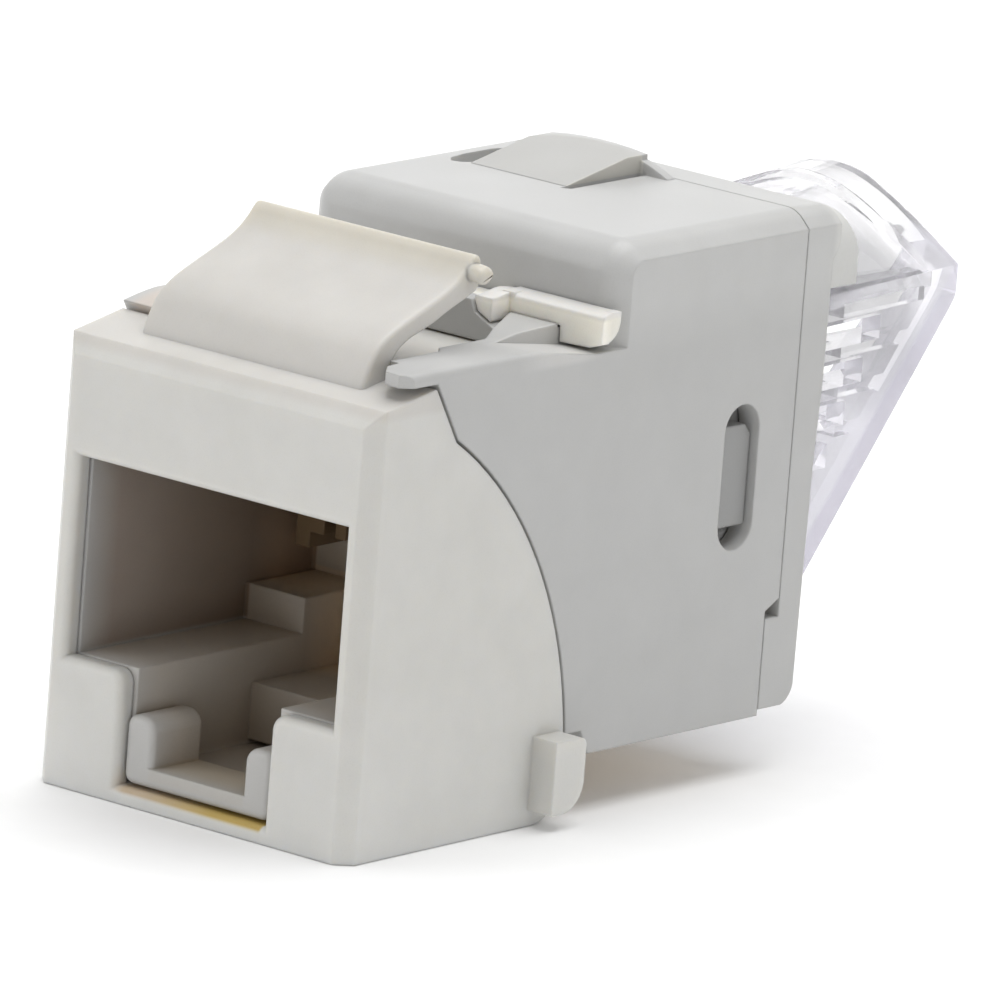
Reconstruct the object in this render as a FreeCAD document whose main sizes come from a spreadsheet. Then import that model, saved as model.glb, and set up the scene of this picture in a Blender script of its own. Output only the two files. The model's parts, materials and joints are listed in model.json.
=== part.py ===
import FreeCAD, Part
import math
import os
import Sketcher
from FreeCAD import Placement, Rotation, Vector

# Keystone jack for an 8-position modular plug, with a wire-lacing cap.
# Frame: X across the face, Y from the front face towards the cable, Z up.
# Origin: middle of the face's lower edge, in the plane of the front face.
# All numbers are millimetres.

doc = FreeCAD.newDocument("KeystoneJack")
sheet = doc.addObject("Spreadsheet::Sheet", "Dim")

DIMS = [
    # bezel
    ("face_half", 7.25, "half width of the face and of the housing"),
    ("bezel_top", 16.12, "height of the bezel at its front face"),
    ("bezel_top_back", 16.70, "height of the bezel top at its rear edge"),
    ("bezel_back", 11.68, "rear-most point of the curved skirt"),
    ("skirt_radius", 15.20, "radius of the skirt's curved rear edge"),
    ("face_chamfer", 0.57, "bevel round the face"),
    ("frame_thick", 0.70, "thickness of the face plate"),
    ("open_half", 6.18, "half width of the plug opening"),
    ("open_top", 11.95, "top of the plug opening"),
    ("open_step", 4.72, "height of the two lower shoulders"),
    ("slot_half", 3.45, "half width of the latch slot in the face"),
    ("sill", 0.60, "height of the bar under the latch slot"),
    ("shoulder_round", 0.55, "rounding of the shoulders"),
    ("mouth_round", 0.32, "rounding round the mouth of the plug opening"),
    ("lug_out", 8.35, "outer face of the fixed side catches"),
    ("lug_front", 9.94, "front face of the fixed side catches"),
    ("tongue_half", 4.75, "half width of the bezel's top tongue"),
    # nose of the main housing
    ("nose_half", 6.55, "half width of the plug nose"),
    ("nose_bottom", 0.70, "underside of the plug nose"),
    ("nose_top", 15.05, "top of the plug nose"),
    ("nose_front", 0.76, "front rim of the plug nose"),
    ("cradle_half", 3.38, "half width of the cradle that stands in the slot of the face"),
    ("cradle_front", 0.36, "front face of the cradle"),
    ("port_half", 6.08, "half width of the plug cavity"),
    ("port_floor", 4.78, "side shelves of the plug cavity"),
    ("port_top", 11.90, "ceiling of the plug cavity"),
    ("port_depth", 13.20, "rear end of the plug cavity"),
    ("latch_half", 3.30, "half width of the latch channel"),
    ("latch_floor", 1.42, "floor of the latch channel"),
    ("keeper_half", 2.10, "half gap between the two latch keepers"),
    ("keeper_top", 3.20, "top of the latch keepers"),
    ("keeper_back", 2.95, "rear face of the latch keepers"),
    # main housing
    ("box_top", 20.60, "top of the rear box"),
    ("box_front", 12.92, "front face of the rear box"),
    ("box_bottom", 2.20, "underside of the rear box"),
    ("seam_y", 23.37, "joint between main housing and rear housing"),
    ("seam_low_y", 22.62, "the same joint below the step"),
    ("deck", 17.35, "top of the side rails"),
    ("inner_front", 14.00, "front wall of the inner chamber"),
    ("inner_half", 6.30, "half width of the inner chamber"),
    ("window_y", 20.47, "middle of the side windows"),
    ("window_low", 8.60, "lower end of the side windows"),
    ("window_high", 13.95, "upper end of the side windows"),
    ("window_r", 0.97, "end radius of the side windows"),
    ("edge_bevel", 0.64, "bevel along the top of the box"),
    ("edge_round", 1.10, "rounding of the bevel's upper edge"),
    # inside
    ("jack_pitch", 1.016, "pitch of the eight jack contacts"),
    ("wire", 0.36, "thickness of a jack contact"),
    ("board_front", 15.70, "front face of the circuit board"),
    ("board_thick", 1.00, "thickness of the circuit board"),
    ("idc_x", 4.40, "distance of the two contact rows from the middle"),
    ("idc_low", 11.10, "lowest insulation-displacement contact"),
    ("idc_pitch", 1.46, "pitch of these contacts in a row"),
    ("idc_thick", 0.40, "sheet thickness of these contacts"),
    # cap
    ("cap_half", 6.50, "half width of the cap"),
    ("cap_half_back", 5.85, "half width of the cap at its rear wall"),
    ("cap_step", 32.30, "where the cap's roof steps up to its rear collar"),
    ("cap_front", 25.36, "front rim of the cap"),
    ("cap_inside", 33.30, "inner face of the cap's rear wall"),
    ("cap_back", 34.40, "rear wall of the cap"),
    ("cap_wall", 0.80, "wall of the cap"),
    ("cable_half", 3.60, "half width of the cable opening"),
    ("cable_low", 12.60, "lower end of the cable opening"),
    # lever
    ("lever_half", 5.10, "half width of the latch lever"),
]
DIM = {}
for row, (word, value, note) in enumerate(DIMS, 1):
    sheet.set("A%d" % row, note)
    sheet.set("B%d" % row, "%g" % value)
    sheet.setAlias("B%d" % row, word)
    DIM[word] = value
doc.recompute()


def split(expr):
    """Signed terms of a sum such as 'nose_half - 0.5'."""
    terms, sign = [], 1.0
    for token in str(expr).split():
        if token in "+-":
            sign = -1.0 if token == "-" else 1.0
            continue
        if token.startswith("-"):
            sign, token = -sign, token[1:]
        terms.append((sign, token))
        sign = 1.0
    return terms


def number(expr):
    return sum(s * (DIM[t] if t in DIM else float(t)) for s, t in split(expr))


def formula(expr):
    out = ""
    for s, t in split(expr):
        out += (" - " if s < 0 else " + ") + ("Dim." + t if t in DIM else t)
    return out[3:] if out.startswith(" + ") else "0" + out


def bound(expr):
    return any(t in DIM for _, t in split(expr))


def tie(obj, prop, expr):
    """Give a property its value, bound to the sheet where it names a cell."""
    head, *rest = prop.split(".")
    if not rest:
        setattr(obj, head, number(expr))
    if bound(expr):
        obj.setExpression(prop, formula(expr))


def new_body(name):
    body = doc.addObject("PartDesign::Body", name)
    body.Label = name
    return body


def new_sketch(body, role, name, offset=None):
    sk = body.newObject("Sketcher::SketchObject", name)
    plane = [f for f in body.Origin.OriginFeatures if f.Role == role][0]
    sk.AttachmentSupport = [(plane, "")]
    sk.MapMode = "FlatFace"
    if offset is not None:
        sk.AttachmentOffset = Placement(Vector(0, 0, number(offset)), Rotation())
        if bound(offset):
            sk.setExpression("AttachmentOffset.Base.z", formula(offset))
    return sk


def fix_point(sk, geo, pos, x, y):
    for kind, expr in (("DistanceX", x), ("DistanceY", y)):
        k = sk.addConstraint(Sketcher.Constraint(kind, geo, pos, number(expr)))
        if bound(expr):
            sk.setExpression("Constraints[%d]" % k, formula(expr))


def outline(sk, points, arcs=None):
    """Closed outline. arcs: {edge index: (radius, +1 left turn / -1 right turn)}."""
    arcs = arcs or {}
    base = sk.GeometryCount
    n = len(points)
    xy = [(number(x), number(y)) for x, y in points]
    ends = []
    for i in range(n):
        (ax, ay), (bx, by) = xy[i], xy[(i + 1) % n]
        if i not in arcs:
            sk.addGeometry(Part.LineSegment(Vector(ax, ay, 0), Vector(bx, by, 0)), False)
            ends.append((1, 2))
            continue
        radius, turn = number(arcs[i][0]), arcs[i][1]
        d = math.hypot(bx - ax, by - ay)
        rise = math.sqrt(max(radius * radius - d * d / 4.0, 0.0))
        cx = (ax + bx) / 2.0 - turn * (by - ay) / d * rise
        cy = (ay + by) / 2.0 + turn * (bx - ax) / d * rise
        first, last = ((ax, ay), (bx, by)) if turn > 0 else ((bx, by), (ax, ay))
        a0 = math.atan2(first[1] - cy, first[0] - cx)
        a1 = math.atan2(last[1] - cy, last[0] - cx)
        if a1 <= a0:
            a1 += 2 * math.pi
        circle = Part.Circle(Vector(cx, cy, 0), Vector(0, 0, 1), radius)
        sk.addGeometry(Part.ArcOfCircle(circle, a0, a1), False)
        ends.append((1, 2) if turn > 0 else (2, 1))
    for i in range(n):
        j = (i + 1) % n
        sk.addConstraint(
            Sketcher.Constraint("Coincident", base + i, ends[i][1], base + j, ends[j][0])
        )
    for i in range(n):
        fix_point(sk, base + i, ends[i][0], points[i][0], points[i][1])
        if i in arcs:
            k = sk.addConstraint(
                Sketcher.Constraint("Radius", base + i, number(arcs[i][0]))
            )
            if bound(arcs[i][0]):
                sk.setExpression("Constraints[%d]" % k, formula(arcs[i][0]))


def rect(sk, x0, x1, y0, y1):
    outline(sk, [(x0, y0), (x1, y0), (x1, y1), (x0, y1)])


def circle(sk, x, y, r):
    g = sk.addGeometry(
        Part.Circle(Vector(number(x), number(y), 0), Vector(0, 0, 1), number(r)), False
    )
    fix_point(sk, g, 3, x, y)
    k = sk.addConstraint(Sketcher.Constraint("Radius", g, number(r)))
    if bound(r):
        sk.setExpression("Constraints[%d]" % k, formula(r))


def pad(body, sk, name, length, both=False, back=False):
    p = body.newObject("PartDesign::Pad", name)
    p.Profile = sk
    tie(p, "Length", length)
    if both:
        p.SideType = "Symmetric"
    p.Reversed = back
    return p


def pocket(body, sk, name, length, both=False, back=False):
    p = body.newObject("PartDesign::Pocket", name)
    p.Profile = sk
    tie(p, "Length", length)
    if both:
        p.SideType = "Symmetric"
    p.Reversed = back
    doc.recompute()
    before = p.BaseFeature.Shape.Volume
    if not p.Shape.Volume < before - 1e-6:
        raise RuntimeError("%s cuts nothing" % name)
    return p


def edges_where(shape, test):
    names = []
    for i, e in enumerate(shape.Edges, 1):
        if e.Length < 1e-6:
            continue
        a, b = e.Vertexes[0].Point, e.Vertexes[-1].Point
        if test(e, a, b, e.CenterOfMass):
            names.append("Edge%d" % i)
    return names


def along(a, b, axis):
    d = b - a
    return d.Length > 1e-6 and abs(abs(getattr(d, axis)) - d.Length) < 1e-4


def dress(body, kind, name, size, test):
    """Fillet or chamfer the edges of the tip that pass the test."""
    doc.recompute()
    base = body.Tip
    names = edges_where(base.Shape, test)
    if not names:
        raise RuntimeError("%s finds no edge" % name)
    f = body.newObject("PartDesign::" + kind, name)
    f.Base = (base, names)
    tie(f, "Radius" if kind == "Fillet" else "Size", size)
    doc.recompute()
    return f


def mirror_x(body, name, features):
    m = body.newObject("PartDesign::Mirrored", name)
    plane = [f for f in body.Origin.OriginFeatures if f.Role == "YZ_Plane"][0]
    m.Originals = features
    m.MirrorPlane = (plane, [""])
    body.Tip = m
    doc.recompute()
    return m


def near(a, b, tol=0.03):
    return abs(a - b) < tol


# ---------------------------------------------------------------- bezel
# Front frame and side skirts in one moulding, with the two fixed catches low
# on its sides and two snap arms that reach back and hook over the housing.
bezel = new_body("bezel")
sk = new_sketch(bezel, "YZ_Plane", "bezel_side")
outline(
    sk,
    [
        ("0", "0"),
        ("bezel_back", "0"),
        ("bezel_back", "1.68"),
        ("4.43", "14.64"),
        ("3.14", "bezel_top_back"),
        ("0", "bezel_top"),
    ],
    {2: ("skirt_radius", 1)},
)
pad(bezel, sk, "bezel_block", "face_half + face_half", both=True)
dress(
    bezel, "Fillet", "skirt_foot_round", "1.5",
    lambda e, a, b, c: along(a, b, "x") and near(c.y, DIM["bezel_back"]) and near(c.z, 0),
)
dress(
    bezel, "Chamfer", "face_bevel", "face_chamfer",
    lambda e, a, b, c: near(a.y, 0) and near(b.y, 0)
    and (near(abs(c.x), DIM["face_half"]) or near(c.z, DIM["bezel_top"])),
)
sk = new_sketch(bezel, "XZ_Plane", "nose_room", "-frame_thick")
rect(sk, "-nose_half - 0.07", "nose_half + 0.07", "nose_bottom - 0.08", "nose_top + 0.05")
pocket(bezel, sk, "nose_room_cut", "14")
sk = new_sketch(bezel, "XZ_Plane", "plug_opening")
outline(
    sk,
    [
        ("-open_half", "open_top"), ("-open_half", "open_step"),
        ("-slot_half", "open_step"), ("-slot_half", "sill"),
        ("slot_half", "sill"), ("slot_half", "open_step"),
        ("open_half", "open_step"), ("open_half", "open_top"),
    ],
)
pocket(bezel, sk, "plug_opening_cut", "frame_thick + 0.1")
dress(
    bezel, "Fillet", "shoulder_rounds", "shoulder_round",
    lambda e, a, b, c: along(a, b, "y") and near(abs(c.x), DIM["slot_half"])
    and near(c.z, DIM["open_step"]) and c.y < 0.6,
)
dress(
    bezel, "Fillet", "mouth_rounding", "mouth_round",
    lambda e, a, b, c: abs(a.y) < 0.01 and abs(b.y) < 0.01 and abs(c.x) < DIM["open_half"] + 0.1
    and DIM["sill"] - 0.05 < c.z < DIM["open_top"] + 0.1,
)
# top tongue that lies over the nose, between the housing's two rails, and
# reaches under the housing's bridge to carry the snap arms
sk = new_sketch(bezel, "XY_Plane", "tongue", "nose_top + 0.40")
outline(
    sk,
    [
        ("-tongue_half", "2.2"), ("tongue_half", "2.2"), ("tongue_half", "8.55"),
        ("3.20", "11.70"), ("3.10", "12.85"), ("-3.10", "12.85"),
        ("-3.20", "11.70"), ("-tongue_half", "8.55"),
    ],
)
pad(bezel, sk, "tongue_pad", "1.05")
# riser behind the bridge, with a cross plate that joins the two arms
sk = new_sketch(bezel, "XZ_Plane", "riser", "-11.62")
outline(
    sk,
    [
        ("-2.10", "16.30"), ("2.10", "16.30"), ("2.10", "17.20"), ("3.00", "17.55"),
        ("3.00", "17.92"), ("-3.00", "17.92"), ("-3.00", "17.55"), ("-2.10", "17.20"),
    ],
)
pad(bezel, sk, "riser_pad", "1.20", back=True)
# fixed catch, right-hand side
sk = new_sketch(bezel, "YZ_Plane", "catch", "face_half - 0.3")
outline(
    sk,
    [
        ("lug_front", "0.60"), ("10.50", "0.60"), ("11.62", "1.72"),
        ("11.62", "2.95"), ("11.29", "3.28"), ("lug_front", "3.28"),
    ],
    {1: ("1.12", 1), 3: ("0.33", 1)},
)
catch = pad(bezel, sk, "catch_pad", "lug_out - face_half + 0.3")
# snap arm: a block beside the bridge, a bar along the box and a hook at its end
sk = new_sketch(bezel, "XZ_Plane", "arm_block", "-10.87")
outline(
    sk,
    [
        ("2.36", "18.16"), ("2.36", "18.05"), ("2.54", "17.62"), ("3.14", "17.33"),
        ("3.14", "18.16"),
    ],
)
block = pad(bezel, sk, "arm_block_pad", "1.98", back=True)
sk = new_sketch(bezel, "YZ_Plane", "arm_crown", "2.36")
outline(sk, [("11.10", "17.9"), ("12.85", "17.9"), ("12.85", "18.22"), ("12.2", "18.30"), ("11.90", "18.28"), ("11.10", "18.14")])
crown = pad(bezel, sk, "arm_crown_pad", "0.78")
sk = new_sketch(bezel, "XZ_Plane", "arm_bar", "-11.86")
outline(
    sk,
    [
        ("2.80", "17.56"), ("5.50", "17.56"), ("5.52", "16.97"), ("6.90", "17.03"),
        ("face_half + 0.02", "17.16"), ("face_half + 0.10", "17.40"),
        ("face_half + 0.10", "18.30"), ("2.80", "18.30"),
    ],
)
bar = pad(bezel, sk, "arm_bar_pad", "0.60", back=True)
sk = new_sketch(bezel, "XZ_Plane", "arm_heel", "-12.40")
outline(
    sk,
    [
        ("2.80", "17.60"), ("5.60", "17.60"), ("5.62", "17.30"), ("face_half - 0.05", "17.42"),
        ("face_half + 0.10", "17.60"), ("face_half + 0.10", "18.30"), ("2.80", "18.30"),
    ],
)
heel = pad(bezel, sk, "arm_heel_pad", "0.45", back=True)
sk = new_sketch(bezel, "YZ_Plane", "arm_cheek", "face_half - 0.2")
outline(
    sk,
    [
        ("11.86", "17.22"), ("12.05", "17.22"), ("12.85", "18.02"), ("12.85", "18.32"), ("11.86", "18.32"),
    ],
    {1: ("0.80", 1)},
)
cheek = pad(bezel, sk, "arm_cheek_pad", "0.37")
sk = new_sketch(bezel, "YZ_Plane", "arm_round", "face_half + 0.3")
outline(
    sk,
    [
        ("11.50", "18.02"), ("11.855", "18.02"), ("11.92", "18.18"), ("12.08", "18.26"),
        ("12.40", "18.305"), ("12.40", "18.60"), ("11.50", "18.60"),
    ],
)
eased = pocket(bezel, sk, "arm_round_cut", "face_half + 0.3 - 3.3")
mirror_x(bezel, "left_side", [catch, block, crown, bar, heel, cheek, eased])

# ---------------------------------------------------------------- latch lever
# Springy release lever rising from the bezel's top. On the moulding it grows
# out of the bezel; here it is a body of its own that turns about its root.
lever = new_body("latch_lever")
sk = new_sketch(lever, "YZ_Plane", "lever_side")
outline(
    sk,
    [
        ("1.72", "16.98"), ("2.02", "17.30"), ("2.55", "17.90"), ("3.35", "18.33"),
        ("5.10", "19.00"), ("6.20", "19.50"), ("7.30", "20.40"), ("7.78", "20.30"),
        ("7.74", "19.45"), ("7.30", "19.10"), ("5.30", "18.28"), ("4.05", "17.87"),
        ("3.35", "17.42"), ("3.02", "17.02"), ("2.55", "16.98"),
    ],
    {14: ("0.415", -1)},
)
pad(lever, sk, "lever_blade", "lever_half + lever_half", both=True)


def lever_edge(*spots):
    return lambda e, a, b, c: along(a, b, "x") and any(
        near(c.y, y, 0.02) and near(c.z, z, 0.02) for y, z in spots
    )


dress(lever, "Fillet", "lever_crest", "0.30", lever_edge((7.30, 20.40)))
dress(lever, "Fillet", "lever_bow", "1.2", lever_edge((3.35, 18.33), (6.20, 19.50), (5.30, 18.28)))
dress(lever, "Fillet", "lever_under", "0.18", lever_edge((7.74, 19.45), (7.30, 19.10), (7.78, 20.30)))
sk = new_sketch(lever, "YZ_Plane", "lever_nib", "lever_half - 0.1")
outline(
    sk,
    [("6.95", "19.62"), ("7.50", "19.60"), ("7.88", "19.95"), ("7.62", "20.28"), ("6.98", "20.32")],
)
pad(lever, sk, "lever_nib_pad", "0.95")

# ---------------------------------------------------------------- main housing
main = new_body("main_housing")
sk = new_sketch(main, "YZ_Plane", "housing_side")
outline(
    sk,
    [
        ("13.10", "box_bottom"), ("seam_low_y", "box_bottom"), ("seam_low_y", "6.05"),
        ("seam_y", "6.45"), ("seam_y", "box_top"), ("box_front", "box_top"),
        ("box_front", "16.88"), ("11.80", "16.88"), ("11.80", "deck"), ("2.92", "deck"),
        ("4.54", "14.72"), ("11.745", "3.10"), ("12.60", "3.10"),
    ],
    {10: ("15.33", -1)},
)
pad(main, sk, "housing_block", "face_half + face_half", both=True)
dress(
    main, "Fillet", "front_top_round", "1.25",
    lambda e, a, b, c: along(a, b, "x") and near(c.y, DIM["box_front"]) and near(c.z, DIM["box_top"]),
)
dress(
    main, "Chamfer", "side_top_bevel", "edge_bevel",
    lambda e, a, b, c: along(a, b, "y") and near(c.z, DIM["box_top"]) and near(abs(c.x), DIM["face_half"]),
)
dress(
    main, "Fillet", "side_top_round", "edge_round",
    lambda e, a, b, c: along(a, b, "y") and near(c.z, DIM["box_top"])
    and near(abs(c.x), DIM["face_half"] - DIM["edge_bevel"]),
)
sk = new_sketch(main, "XZ_Plane", "nose", "-nose_front")
rect(sk, "-nose_half", "nose_half", "nose_bottom", "nose_top")
pad(main, sk, "nose_pad", "port_depth - nose_front", back=True)
# cradle under the plug's latch, standing forward into the slot of the face
sk = new_sketch(main, "XZ_Plane", "cradle", "-cradle_front")
rect(sk, "-cradle_half", "cradle_half", "nose_bottom", "keeper_top")
pad(main, sk, "cradle_pad", "nose_front - cradle_front + 0.1", back=True)
sk = new_sketch(main, "YZ_Plane", "nose_heel")
outline(sk, [("10.90", "0.5"), ("13.5", "0.5"), ("13.5", "box_bottom"), ("12.90", "box_bottom"), ("10.90", "0.72")])
pocket(main, sk, "nose_heel_cut", "14", both=True)
# ramps that the snap arms ride over, rising to the arms' front
sk = new_sketch(main, "YZ_Plane", "ramp_side", "3.0")
outline(
    sk,
    [
        ("8.50", "17.0"), ("11.80", "16.5"), ("12.95", "16.5"), ("12.95", "17.46"),
        ("11.80", "17.46"), ("11.80", "17.60"), ("9.60", "17.52"), ("8.50", "deck"),
    ],
)
rise = pad(main, sk, "arm_ramp_pad", "2.44")
mirror_x(main, "arm_ramp_left", [rise])
# outside the ramps the top falls away to the hooks
sk = new_sketch(main, "YZ_Plane", "flank", "face_half + 0.5")
outline(sk, [("8.30", "17.36"), ("11.81", "16.88"), ("12.90", "16.88"), ("12.90", "18.2"), ("8.30", "18.2")])
fall = pocket(main, sk, "flank_cut", "face_half - 5.44 + 0.5")
mirror_x(main, "flank_left", [fall])
# room for the bezel's tongue
sk = new_sketch(main, "XY_Plane", "tongue_room", "18.5")
outline(
    sk,
    [
        ("-lever_half - 0.12", "2.0"), ("lever_half + 0.12", "2.0"),
        ("lever_half + 0.12", "5.6"), ("tongue_half + 0.1", "6.0"),
        ("tongue_half + 0.1", "8.57"), ("3.28", "11.75"), ("3.28", "12.92"),
        ("-3.28", "12.92"), ("-3.28", "11.75"), ("-tongue_half - 0.1", "8.57"),
        ("-tongue_half - 0.1", "6.0"), ("-lever_half - 0.12", "5.6"),
    ],
)
pocket(main, sk, "tongue_room_cut", "3.15")
# bridge over the tongue, with a post in its middle
sk = new_sketch(main, "XZ_Plane", "bridge", "-10.75")
outline(
    sk,
    [
        ("-4.10", "16.58"), ("4.10", "16.58"), ("4.10", "17.00"), ("3.40", "17.12"),
        ("2.46", "17.56"), ("2.27", "18.00"), ("-2.27", "18.00"), ("-2.46", "17.56"),
        ("-3.40", "17.12"), ("-4.10", "17.00"),
    ],
)
pad(main, sk, "bridge_pad", "0.80", back=True)
# plug cavity, with the latch channel and its two keepers
sk = new_sketch(main, "XZ_Plane", "port", "-0.2")
outline(
    sk,
    [
        ("-port_half", "port_top"), ("-port_half", "port_floor"),
        ("-latch_half", "port_floor"), ("-latch_half", "keeper_top"),
        ("-keeper_half", "keeper_top"), ("-keeper_half", "latch_floor"),
        ("keeper_half", "latch_floor"), ("keeper_half", "keeper_top"),
        ("latch_half", "keeper_top"), ("latch_half", "port_floor"),
        ("port_half", "port_floor"), ("port_half", "port_top"),
    ],
)
pocket(main, sk, "port_cut", "port_depth - 0.2")
sk = new_sketch(main, "XZ_Plane", "latch_channel", "-keeper_back")
rect(sk, "-latch_half", "latch_half", "latch_floor - 0.28", "keeper_top + 0.1")
pocket(main, sk, "latch_channel_cut", "port_depth - keeper_back")
sk = new_sketch(main, "XZ_Plane", "latch_step", "-7.0")
rect(sk, "-latch_half - 0.1", "latch_half + 0.1", "latch_floor - 0.1", "3.40")
pad(main, sk, "latch_step_pad", "port_depth - 7.0", back=True)
sk = new_sketch(main, "XZ_Plane", "plug_stop", "-9.6")
rect(sk, "latch_half", "port_half + 0.1", "port_floor - 0.1", "6.10")
stop = pad(main, sk, "plug_stop_pad", "port_depth - 9.6", back=True)
mirror_x(main, "plug_stop_left", [stop])
dress(
    main, "Fillet", "keeper_rounds", "0.55",
    lambda e, a, b, c: along(a, b, "y") and near(c.z, DIM["keeper_top"])
    and near(abs(c.x), DIM["keeper_half"]) and c.y < DIM["keeper_back"],
)
dress(
    main, "Fillet", "cradle_corners", "0.40",
    lambda e, a, b, c: along(a, b, "y") and near(abs(c.x), DIM["cradle_half"]) and c.y < DIM["nose_front"],
)
dress(
    main, "Fillet", "cradle_rounding", "0.26",
    lambda e, a, b, c: abs(a.y - DIM["cradle_front"]) < 0.01 and abs(b.y - DIM["cradle_front"]) < 0.01
    and not near(c.z, DIM["latch_floor"]),
)
# recess over the cavity for the eight contacts, and the way to the rear
sk = new_sketch(main, "XZ_Plane", "contact_recess", "-2.4")
rect(sk, "-4.4", "4.4", "port_top - 0.1", "13.9")
pocket(main, sk, "contact_recess_cut", "inner_front - 2.3")
sk = new_sketch(main, "XZ_Plane", "carrier_way", "-12.9")
rect(sk, "-5.2", "5.2", "8.0", "13.9")
pocket(main, sk, "carrier_way_cut", "1.3")
sk = new_sketch(main, "XZ_Plane", "chamber", "-inner_front")
rect(sk, "-inner_half", "inner_half", "box_bottom + 0.9", "box_top - 1.0")
pocket(main, sk, "chamber_cut", "12")
# side windows
sk = new_sketch(main, "YZ_Plane", "window")
outline(
    sk,
    [
        ("window_y - window_r", "window_low + window_r"),
        ("window_y + window_r", "window_low + window_r"),
        ("window_y + window_r", "window_high - window_r"),
        ("window_y - window_r", "window_high - window_r"),
    ],
    {0: ("window_r", 1), 2: ("window_r", 1)},
)
pocket(main, sk, "window_cut", "16", both=True)
# the right-hand rail reaches forward over the bezel; the left-hand one is cut back
sk = new_sketch(main, "XY_Plane", "rail_nose", "deck - 0.46")
outline(
    sk,
    [
        ("lever_half + 0.12", "5.0"), ("lever_half + 0.12", "3.7"), ("5.60", "3.1"),
        ("5.72", "2.2"), ("6.2", "1.55"), ("6.9", "1.45"), ("face_half", "1.9"),
        ("face_half", "5.0"),
    ],
)
pad(main, sk, "rail_nose_pad", "0.46")
sk = new_sketch(main, "YZ_Plane", "rail_fall", "-lever_half")
outline(sk, [("2.5", "16.86"), ("4.9", "deck"), ("4.9", "18.2"), ("2.5", "18.2")])
pocket(main, sk, "rail_fall_cut", "3.0")
dress(
    main, "Fillet", "rail_round", "0.30",
    lambda e, a, b, c: along(a, b, "y") and near(c.z, DIM["deck"]) and near(abs(c.x), DIM["face_half"])
    and 3.0 < c.y < 8.0,
)
# ramped tab on the top, crowned at its rear end, with a slot on each side of it
sk = new_sketch(main, "XZ_Plane", "ramp", "-18.80")
outline(
    sk,
    [("-4.70", "box_top - 0.05"), ("-0.25", "box_top - 0.05"), ("-0.25", "21.26"), ("-4.70", "21.22")],
    {2: ("16.0", 1)},
)
pad(main, sk, "ramp_pad", "4.5", back=True)
sk = new_sketch(main, "YZ_Plane", "ramp_wedge", "-0.2")
outline(sk, [("18.70", "box_top"), ("22.90", "21.40"), ("22.90", "22.5"), ("18.70", "22.5")])
pocket(main, sk, "ramp_wedge_cut", "4.6")
sk = new_sketch(main, "XY_Plane", "ramp_slots", "box_top + 0.9")
outline(sk, [("-0.25", "18.45"), ("0.06", "18.7"), ("0.06", "22.9"), ("-0.25", "22.9")])
outline(
    sk,
    [
        ("-4.70", "19.1"), ("-4.70", "22.3"), ("-5.55", "22.3"), ("-5.85", "21.4"),
        ("-5.85", "19.8"), ("-5.70", "18.9"), ("-5.40", "18.5"), ("-5.05", "18.6"),
    ],
)
pocket(main, sk, "ramp_slots_cut", "1.55")
sk = new_sketch(main, "XZ_Plane", "crown", "-22.90")
outline(
    sk,
    [
        ("-6.00", "box_top - 0.05"), ("1.05", "box_top - 0.05"),
        ("1.05", "box_top + 0.02"), ("-6.00", "box_top + 0.02"),
    ],
    {2: ("8.55", 1)},
)
pad(main, sk, "crown_pad", "seam_y - 22.95", back=True)

# ---------------------------------------------------------------- contact carrier
carrier = new_body("contact_carrier")
sk = new_sketch(carrier, "XZ_Plane", "carrier_block", "-13.0")
rect(sk, "-5.1", "5.1", "8.1", "13.8")
pad(carrier, sk, "carrier_pad", "2.5", back=True)
sk = new_sketch(carrier, "XZ_Plane", "comb", "-11.0")
rect(sk, "-4.62", "4.62", "8.1", "10.6")
pad(carrier, sk, "comb_pad", "2.1", back=True)
sk = new_sketch(carrier, "XZ_Plane", "cheek", "-11.0")
rect(sk, "4.45", "5.1", "7.5", "11.2")
cheek = pad(carrier, sk, "cheek_pad", "2.1", back=True)
mirror_x(carrier, "cheek_left", [cheek])
sk = new_sketch(carrier, "XZ_Plane", "comb_slots", "-10.9")
for i in range(8):
    n = "%g" % (i - 3.5)
    x = (i - 3.5) * DIM["jack_pitch"]
    rect(sk, "%.4f" % (x - 0.26), "%.4f" % (x + 0.26), "8.0", "10.7")
pocket(carrier, sk, "comb_slots_cut", "1.9")
sk = new_sketch(carrier, "XZ_Plane", "wire_ways", "-10.9")
for i in range(8):
    x = (i - 3.5) * DIM["jack_pitch"]
    rect(sk, "%.4f" % (x - 0.21), "%.4f" % (x + 0.21), "12.99", "13.41")
pocket(carrier, sk, "wire_ways_cut", "5.0")

# ---------------------------------------------------------------- jack contacts


def ribbon(points, thick):
    """Outline of a strip of even thickness along a run of points."""
    left, right = [], []
    n = len(points)
    for i in range(n):
        dirs = []
        for j, k in ((i - 1, i), (i, i + 1)):
            if 0 <= j and k < n:
                dx, dy = points[k][0] - points[j][0], points[k][1] - points[j][1]
                d = math.hypot(dx, dy)
                dirs.append((dx / d, dy / d))
        tx = sum(d[0] for d in dirs)
        ty = sum(d[1] for d in dirs)
        size = math.hypot(tx, ty)
        tx, ty = tx / size, ty / size
        mitre = thick / 2.0 / (tx * dirs[0][0] + ty * dirs[0][1])
        left.append((points[i][0] - ty * mitre, points[i][1] + tx * mitre))
        right.append((points[i][0] + ty * mitre, points[i][1] - tx * mitre))
    return left + right[::-1]


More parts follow.
